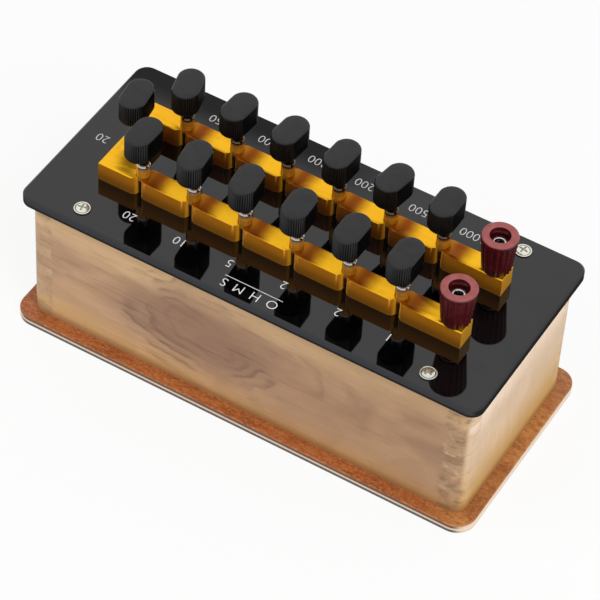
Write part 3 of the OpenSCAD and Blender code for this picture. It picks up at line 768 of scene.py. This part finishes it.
baseLow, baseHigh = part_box("base_board")
middleBlock, endBlock = [high.x - low.x for low, high in (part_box("front_block_2"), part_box("front_block_7"))]
finishes = {
    "longWall": makeCaseWood("caseWoodLong", longBoard),
    "endWall": makeCaseWood("caseWoodEnd", endBoard),
    "base": makeBasePly(baseLow.z, baseHigh.z),
    "panel": makePanelSheet(panelLow.z),
    "brassEnd": makeBlockBrass("blockBrassEnd", True, False, endBlock / middleBlock),
    "pin": makePinMetal("pinMetal", pinMetal["front"], headLow.z),
    "pinRear": makePinMetal("pinMetalRear", pinMetal["rear"], headLow.z),
    "stud": makePlatedMetal("studNickel", studNickel),
    "washer": makePlatedMetal("washerDull", washerDull),
    "steel": makePlatedMetal("screwSteel", screwSteel),
    "panHead": makePlatedMetal("panHeadSteel", panHeadSteel, True),
    "head": makeMoulding("headMoulding", headMoulding),
    "knob": makeMoulding("knobMoulding", knobMoulding),
    "paint": makeLetterPaint(),
    "bobbin": makeBobbinWood(),
    "winding": makeWire("windingWire", windingWire),
    "lead": makeWire("leadCopper", leadCopper),
}
for row, rowShade in (("Front", False), ("Rear", True)):
    for first, seated in (("First", False), ("", True)):  # no plug to the left of the first
        finishes["brass" + row + first] = makeBlockBrass("blockBrass" + row + first, seated, rowShade)
finishByName = {
    "front_wall": "longWall", "rear_wall": "longWall", "left_wall": "endWall", "right_wall": "endWall",
    "base_board": "base", "top_panel": "panel", "coil_bobbins": "bobbin", "coil_windings": "winding",
    "lead_wires": "lead",
}
finishByEnd = {"_head": "head", "_knob": "knob", "_pin": "pin", "_stud": "stud", "_washer": "washer"}


def finishFor(name):
    if name in finishByName:
        return finishes[finishByName[name]]
    if "_block_" in name:
        if name.endswith("_7"):
            return finishes["brassEnd"]  # longer, and clear of the plugs in front
        row = "Front" if name.startswith("front") else "Rear"
        first = "First" if name.endswith("_1") else ""
        return finishes["brass" + row + first]
    if name.endswith("_pin") and not name.startswith("front"):
        return finishes["pinRear"]
    for ending, finish in finishByEnd.items():
        if name.endswith(ending):
            return finishes[finish]
    return finishes["steel"]


for name, part in nodes.items():
    part.data.materials.clear()
    part.data.materials.append(finishFor(name))
print("finishes on the frame")


def smoothTo(mesh, sharpAngle):
    mesh.shade_smooth()
    mesh.set_sharp_from_angle(angle=math.radians(sharpAngle))


# mesh of an object with its modifiers or curve settings applied
def finalMesh(item):
    bpy.context.view_layer.update()
    return bpy.data.meshes.new_from_object(item.evaluated_get(bpy.context.evaluated_depsgraph_get()))


# piece from stacked rings of points, capped at both ends or closed on itself
def ringMesh(name, rings, closed, sharpAngle):
    count = len(rings[0])
    faces = []
    for level in range(len(rings) if closed else len(rings) - 1):
        above = (level + 1) % len(rings)
        for i in range(count):
            j = (i + 1) % count
            faces.append((level * count + i, level * count + j, above * count + j, above * count + i))
    if not closed:
        faces.append(tuple(reversed(range(count))))
        faces.append(tuple(range((len(rings) - 1) * count, len(rings) * count)))
    mesh = bpy.data.meshes.new(name)
    mesh.from_pydata([tuple(point) for ring in rings for point in ring], [], faces)
    tidy = bmesh.new()
    tidy.from_mesh(mesh)
    bmesh.ops.recalc_face_normals(tidy, faces=tidy.faces)
    tidy.to_mesh(mesh)
    tidy.free()
    smoothTo(mesh, sharpAngle)
    return mesh


def setPiece(name, mesh, finish, body, node=None):
    mesh.materials.clear()
    mesh.materials.append(finishes[finish] if finish else finishFor(node))
    piece = addObject(name, mesh)
    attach(piece, body)
    if node:
        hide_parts(node)
    return piece


def circle(radius, count, z):
    angles = [2 * math.pi * i / count for i in range(count)]
    return [Vector((radius * math.cos(angle), radius * math.sin(angle), z)) for angle in angles]


def quarterTurn(steps):
    return [math.radians(90 * step / steps) for step in range(steps + 1)]


def turnedTo(place, degrees):
    return Matrix.Translation(place) @ Matrix.Rotation(math.radians(degrees), 4, "Z")


# from a piece drawn about the origin to the middle of its node's foot
def footPlace(low, high, degrees=0):
    return turnedTo(((low.x + high.x) / 2, (low.y + high.y) / 2, low.z), degrees)


plugHead = {
    "width": 12.0 * mm,
    "length": 19.6 * mm,
    "ribs": 15,
    "ribDepth": 0.38 * mm,
    "ribArc": 140.0,
    "ribSteps": 6,
    "ribPower": 0.7,
    "topRound": 1.0 * mm,
    "topSteps": 5,
    "footRound": 0.5 * mm,
    "footSteps": 3,
    "crown": 0.12 * mm,
    "crownRings": ((1.6 * mm, 0.4), (3.6 * mm, 0.0)),  # inset, and share of the crown still to rise
    "bore": 1.85 * mm,
    "boreDepth": 7.05 * mm,
    "sharp": 50,
    "frontTurns": (-2, 7, 6, 3, 0, 0),
    "rearTurns": (14, -4, -5, -3, -9, 0),
    "leftTurn": 8,
}


# flat-sided outline with ribs round both ends
def headOutline(inset, depth, z):
    radius = plugHead["width"] / 2 - inset
    reach = (plugHead["length"] - plugHead["width"]) / 2
    arc, ribs = plugHead["ribArc"], plugHead["ribs"]
    plain = (180 - arc) / 2
    steps = ribs * plugHead["ribSteps"]
    angles = [0, plain / 2] + [plain + arc * i / steps for i in range(steps + 1)] + [180 - plain / 2, 180]
    points = []
    for half, shift in ((0, reach), (180, -reach)):
        for angle in angles:
            groove = 0.0
            if plain <= angle <= 180 - plain:
                wave = (angle - plain) / arc * ribs
                groove = depth * (0.5 - 0.5 * math.cos(2 * math.pi * wave)) ** plugHead["ribPower"]
            turned = math.radians(angle + half)
            x, y = (radius - groove) * math.cos(turned), (radius - groove) * math.sin(turned)
            points.append(Vector((x, shift + y, z)))
    return points


def makePlugHead(node, body, degrees):
    low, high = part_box(node)
    tall = high.z - low.z
    depth, foot, top, crown = [plugHead[key] for key in ("ribDepth", "footRound", "topRound", "crown")]
    outline = headOutline(foot, 0.0, 0.0)
    bore = [Vector((p.x, p.y, 0.0)) * (plugHead["bore"] / p.length) for p in outline]
    rings = [[p + Vector((0, 0, plugHead["boreDepth"])) for p in bore], bore, outline]
    for angle in quarterTurn(plugHead["footSteps"])[1:]:
        out = math.sin(angle)
        rings.append(headOutline(foot * (1 - out), depth * out, foot * (1 - math.cos(angle))))
    for angle in quarterTurn(plugHead["topSteps"]):
        out, drop = math.cos(angle), 1 - math.sin(angle)
        rings.append(headOutline(top * (1 - out), depth * out ** 2, tall - crown - top * drop))
    for inset, share in plugHead["crownRings"]:
        rings.append(headOutline(top + inset, 0.0, tall - crown * share))
    mesh = ringMesh(node + "_grip", rings, False, plugHead["sharp"])
    mesh.transform(footPlace(low, high, degrees))
    setPiece(node + "_grip", mesh, "head", body, node)


for row, turns in (("front", plugHead["frontTurns"]), ("rear", plugHead["rearTurns"])):
    for index, degrees in enumerate(turns):
        makePlugHead(f"{row}_plug_{index + 1}_head", f"{row}_plug_{index + 1}", degrees)
makePlugHead("left_plug_head", "left_plug", plugHead["leftTurn"])
print("plug heads moulded")

terminalKnob = {
    "topRadius": 8.0 * mm,
    "footRadius": 6.35 * mm,
    "footInset": 0.25 * mm,
    "footLift": 0.3 * mm,
    "flutes": 18,
    "fluteSteps": 12,
    "fluteDepth": 0.5 * mm,
    "fluteWidth": 0.7,  # share of the pitch
    "flutePower": 0.8,
    "fluteStop": 1.3 * mm,
    "fluteFade": 1.4 * mm,
    "levels": (0.3, 0.6),  # shares of the height
    "stopLevels": (2.0, 1.2, 0.7, 0.35, 0.12, 0.0),  # mm below the flutes' upper end
    "rim": 0.9 * mm,
    "rimInset": 0.05 * mm,
    "rimSteps": 5,
    "lip": 0.4 * mm,
    "lipSteps": 3,
    "recess": 4.4 * mm,
    "recessDepth": 5.2 * mm,
    "bore": 3.33 * mm,
    "sharp": 50,
}
knobCount = terminalKnob["flutes"] * terminalKnob["fluteSteps"]


def knobRing(radius, depth, z):
    steps = terminalKnob["fluteSteps"]
    points = []
    for i in range(knobCount):
        angle = 2 * math.pi * i / knobCount
        phase = (i % steps) / steps
        across = min(phase, 1.0 - phase) / (terminalKnob["fluteWidth"] / 2)
        groove = depth * math.cos(math.pi / 2 * across) ** terminalKnob["flutePower"] if across < 1 else 0.0
        points.append(Vector(((radius - groove) * math.cos(angle), (radius - groove) * math.sin(angle), z)))
    return points


def makeTerminalKnob(node, body):
    low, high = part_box(node)
    tall = high.z - low.z
    foot, top, depth = [terminalKnob[key] for key in ("footRadius", "topRadius", "fluteDepth")]
    rim, lip, recess, bore = [terminalKnob[key] for key in ("rim", "lip", "recess", "bore")]
    stop = tall - terminalKnob["fluteStop"]
    rings = [circle(bore, knobCount, 0.0), knobRing(foot - terminalKnob["footInset"], depth, 0.0)]
    levels = [terminalKnob["footLift"]] + [tall * share for share in terminalKnob["levels"]]
    levels += [stop - drop * mm for drop in terminalKnob["stopLevels"]] + [tall - rim]
    for z in levels:
        left = max(0.0, min(1.0, (stop - z) / terminalKnob["fluteFade"])) ** 0.5
        rings.append(knobRing(foot + (top - foot) * z / tall, depth * left, z))
    for angle in quarterTurn(terminalKnob["rimSteps"])[1:]:
        radius = top - rim * (1 - math.cos(angle)) - terminalKnob["rimInset"]
        rings.append(circle(radius, knobCount, tall - rim * (1 - math.sin(angle))))
    for angle in quarterTurn(terminalKnob["lipSteps"]):
        radius = recess + lip * (1 - math.sin(angle))
        rings.append(circle(radius, knobCount, tall - lip * (1 - math.cos(angle))))
    floorZ = tall - terminalKnob["recessDepth"]
    rings.append(circle(recess, knobCount, floorZ))
    rings.append(circle(bore, knobCount, floorZ))
    mesh = ringMesh(node + "_grip", rings, True, terminalKnob["sharp"])
    mesh.transform(footPlace(low, high))
    setPiece(node + "_grip", mesh, "knob", body, node)


for row in ("front", "rear"):
    makeTerminalKnob(f"{row}_terminal_knob", f"{row}_knob")
print("terminal knobs turned")

panelScrew = {
    "headRadius": 3.8 * mm,
    "shank": ((0.3, -20.4), (1.75, -19.2), (1.75, 0.0)),  # radius and height, mm
    "head": ((3.72, 0.0), (3.8, 0.1), (3.8, 0.3), (3.7, 0.48), (3.5, 0.6), (3.25, 0.62), (3.08, 0.55),
             (2.98, 0.4), (2.86, 0.4), (2.76, 0.58), (2.55, 0.78), (2.1, 1.0), (1.5, 1.16), (0.8, 1.26),
             (0.25, 1.3)),
    "steps": 48,
    "slot": (4.0 * mm, 0.85 * mm, 1.6 * mm),
    "slotZ": 1.3 * mm,
    "sharp": 35,
    "turns": (12, 38, 65, 80),
}


def makePanelScrews():
    low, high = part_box("panel_screws")
    profile = panelScrew["shank"] + panelScrew["head"]
    rings = [circle(radius * mm, panelScrew["steps"], z * mm) for radius, z in profile]
    blank = addObject("screwBlank", ringMesh("screwBlank", rings, False, panelScrew["sharp"]))
    cutter = bmesh.new()
    bar = Matrix.Diagonal((*panelScrew["slot"], 1.0))
    for degrees in (0, 90):
        bmesh.ops.create_cube(cutter, size=1.0, matrix=turnedTo((0, 0, panelScrew["slotZ"]), degrees) @ bar)
    cutMesh = bpy.data.meshes.new("screwSlot")
    cutter.to_mesh(cutMesh)
    cutter.free()
    slotTool = addObject("screwSlot", cutMesh)
    cut = blank.modifiers.new("slot", "BOOLEAN")
    cut.operation = "DIFFERENCE"
    cut.solver = "EXACT"
    cut.use_self = True
    cut.object = slotTool
    one = finalMesh(blank)
    for item in (blank, slotTool):
        bpy.data.objects.remove(item)
    joined = bmesh.new()
    inset = panelScrew["headRadius"]
    corners = [(x, y) for x in (low.x + inset, high.x - inset) for y in (low.y + inset, high.y - inset)]
    for (x, y), degrees in zip(corners, panelScrew["turns"]):
        copy = one.copy()
        copy.transform(turnedTo((x, y, faceZ), degrees))
        joined.from_mesh(copy)
        bpy.data.meshes.remove(copy)
    mesh = bpy.data.meshes.new("panel_screw_heads")
    joined.to_mesh(mesh)
    joined.free()
    smoothTo(mesh, panelScrew["sharp"])
    setPiece("panel_screw_heads", mesh, "panHead", "case", "panel_screws")


makePanelScrews()
print("panel screws set")

softBlock = {"width": 0.35 * mm, "steps": 2}
softSocket = {"width": 0.3 * mm, "steps": 3}
softEdge = {"weld": 0.001 * mm, "level": 0.01 * mm, "flat": 1, "corner": 20, "sharp": 25}


# copy of a node with the edges of its top face eased
def makeSoftCopy(node, ease, finish):
    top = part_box(node)[1].z
    shape = bmesh.new()
    shape.from_mesh(nodes[node].data)
    bmesh.ops.remove_doubles(shape, verts=shape.verts, dist=softEdge["weld"])
    flat = math.radians(softEdge["flat"])
    bmesh.ops.dissolve_limit(shape, angle_limit=flat, verts=shape.verts, edges=shape.edges)
    corner = math.radians(softEdge["corner"])
    rim = [e for e in shape.edges if all(abs(v.co.z - top) < softEdge["level"] for v in e.verts)
           and len(e.link_faces) == 2 and e.calc_face_angle(0.0) > corner]
    bmesh.ops.bevel(shape, geom=rim, offset=ease["width"], segments=ease["steps"], profile=0.5,
                    affect="EDGES", clamp_overlap=True)
    bmesh.ops.recalc_face_normals(shape, faces=shape.faces)
    mesh = bpy.data.meshes.new(node + "_eased")
    shape.to_mesh(mesh)
    shape.free()
    smoothTo(mesh, softEdge["sharp"])
    setPiece(node + "_eased", mesh, finish, "case", node)


for name in sorted(nodes):
    if "_block_" in name:
        makeSoftCopy(name, softBlock, None)
    elif name.endswith("_stud"):
        makeSoftCopy(name, softSocket, "stud")
print("blocks and studs eased")

lettering = {
    "height": 4.4 * mm,
    "capital": 0.7,  # height of a capital as a share of the font's size
    "curveSteps": 6,
    "lift": 0.03 * mm,
    "thick": 0.05 * mm,
    "thin": 0.09 * mm,  # taken off each side of a stroke
    "front": (("20", -64.4, -33.0), ("10", -39.0, -33.8), ("5", -15.3, -32.8), ("2", 9.8, -31.0),
              ("2", 36.0, -31.7), ("1", 60.3, -32.1)),
    "rear": (("50", -64.8, 35.9), ("100", -39.1, 36.8), ("200", -15.0, 38.3), ("200", 8.6, 37.6),
             ("500", 35.3, 36.9), ("1000", 61.6, 36.7)),
    "left": (("20", -99.2, -0.6),),
    "title": ("OHMS", 0.5, -43.0),
    "titleHeight": 4.6 * mm,
    "titleSpread": 1.9,
    "lineY": -39.4 * mm,
    "lineWidth": 0.3 * mm,
    "lineSpare": 0.6 * mm,
    "lineSteps": 8,
    "lineSharp": 30,
}


# white figures on the panel, read from the far side
def makeFigure(label, text, x, y, height, spread=1.0):
    curve = bpy.data.curves.new(label, "FONT")
    curve.body = text
    curve.align_x = "CENTER"
    curve.align_y = "CENTER"
    curve.size = height / lettering["capital"]
    curve.space_character = spread
    curve.offset = -lettering["thin"]
    curve.extrude = lettering["thick"] / 2
    curve.resolution_u = lettering["curveSteps"]
    holder = addObject(label + "Curve", curve)
    mesh = finalMesh(holder)
    bpy.data.objects.remove(holder)
    bpy.data.curves.remove(curve)
    mesh.transform(turnedTo((x * mm, y * mm, faceZ + lettering["lift"]), 180))
    return setPiece(label, mesh, "paint", "case")


# painted rule beside a word, its ends round
def makeRule(label, word):
    across = [v.co.x for v in word.data.vertices]
    half, spare, steps = lettering["lineWidth"] / 2, lettering["lineSpare"], lettering["lineSteps"]
    left, right = min(across) - spare + half, max(across) + spare - half
    outline = []
    for middle, start in ((right, -90), (left, 90)):
        for step in range(steps + 1):
            angle = math.radians(start + 180 * step / steps)
            outline.append((middle + half * math.cos(angle), lettering["lineY"] + half * math.sin(angle)))
    base = faceZ + lettering["lift"] - lettering["thick"] / 2
    rings = [[Vector((x, y, base + lift)) for x, y in outline] for lift in (0.0, lettering["thick"])]
    setPiece(label, ringMesh(label, rings, False, lettering["lineSharp"]), "paint", "case")


for row in ("front", "rear", "left"):
    for index, (text, x, y) in enumerate(lettering[row]):
        makeFigure(f"{row}_figure_{index + 1}", text, x, y, lettering["height"])
unitWord = makeFigure("unit_word", *lettering["title"], lettering["titleHeight"], lettering["titleSpread"])
makeRule("unit_rule", unitWord)
print("figures set")

# pale floor, white surroundings for camera and reflections, soft studio light
studio = {
    "floorSize": 6.0,
    "floorDrop": 0.2 * mm,
    "floorColour": (0.88, 0.88, 0.88),
    "floorMottle": 0.99,  # share left in the darker patches
    "floorPatch": 3.0,
    "floorRoughness": 0.9,
    "floorGlow": 0.86,
    "skyLevel": 0.6,
    "key": {"place": (1.25, -0.65, 1.5), "size": 1.1, "power": 20.0},
    "fill": {"place": (-1.1, -0.8, 1.1), "size": 1.2, "power": 5.0},
}


def lightPathMask(tree):
    path = addNode(tree, "ShaderNodeLightPath")
    seen = mathNode(tree, "MAXIMUM", path.outputs["Is Camera Ray"], path.outputs["Is Glossy Ray"])
    return mathNode(tree, "MAXIMUM", seen, path.outputs["Is Transmission Ray"])


def makeSky():
    world = bpy.data.worlds.new("studioWorld")
    scene.world = world
    world.use_nodes = True
    tree = world.node_tree
    background = tree.nodes["Background"]
    background.inputs["Color"].default_value = (1, 1, 1, 1)
    drive(tree, background, Strength=ramp(tree, lightPathMask(tree), 0.0, 1.0, studio["skyLevel"], 1.0))


def makeFloor():
    material, tree, shader, place = newMaterial("floorCard", Roughness=studio["floorRoughness"])
    cloth = placeGroup(tree, mottle, place, Size=studio["floorPatch"])
    tone = studio["floorColour"]
    darker = tuple(channel * studio["floorMottle"] for channel in tone)
    colour = mix(tree, ramp(tree, cloth.outputs["Blotch"], 0.3, 0.7), tone, darker)
    drive(tree, shader, Base_Color=colour)
    glow = addNode(tree, "ShaderNodeEmission")
    blend = addNode(tree, "ShaderNodeMixShader")
    wire(tree, times(tree, lightPathMask(tree), studio["floorGlow"]), blend.inputs[0])
    wire(tree, shader.outputs[0], blend.inputs[1])
    wire(tree, glow.outputs[0], blend.inputs[2])
    wire(tree, blend.outputs[0], tree.nodes["Material Output"].inputs["Surface"])
    half = studio["floorSize"] / 2
    mesh = bpy.data.meshes.new("floor")
    corners = [(-half, -half, 0), (half, -half, 0), (half, half, 0), (-half, half, 0)]
    mesh.from_pydata(corners, [], [(0, 1, 2, 3)])
    mesh.materials.append(material)
    floor = addObject("floor", mesh)
    floor.location.z = -studio["floorDrop"]


def makeLamp(label, facts):
    lamp = bpy.data.lights.new(label, "AREA")
    lamp.shape = "DISK"
    lamp.size = facts["size"]
    lamp.energy = facts["power"]
    holder = addObject(label, lamp)
    holder.location = facts["place"]
    holder.rotation_euler = (-Vector(facts["place"])).to_track_quat("-Z", "Y").to_euler()
    holder.visible_glossy = False


makeSky()
makeFloor()
for label in ("key", "fill"):
    makeLamp(label, studio[label])
print("studio ready")
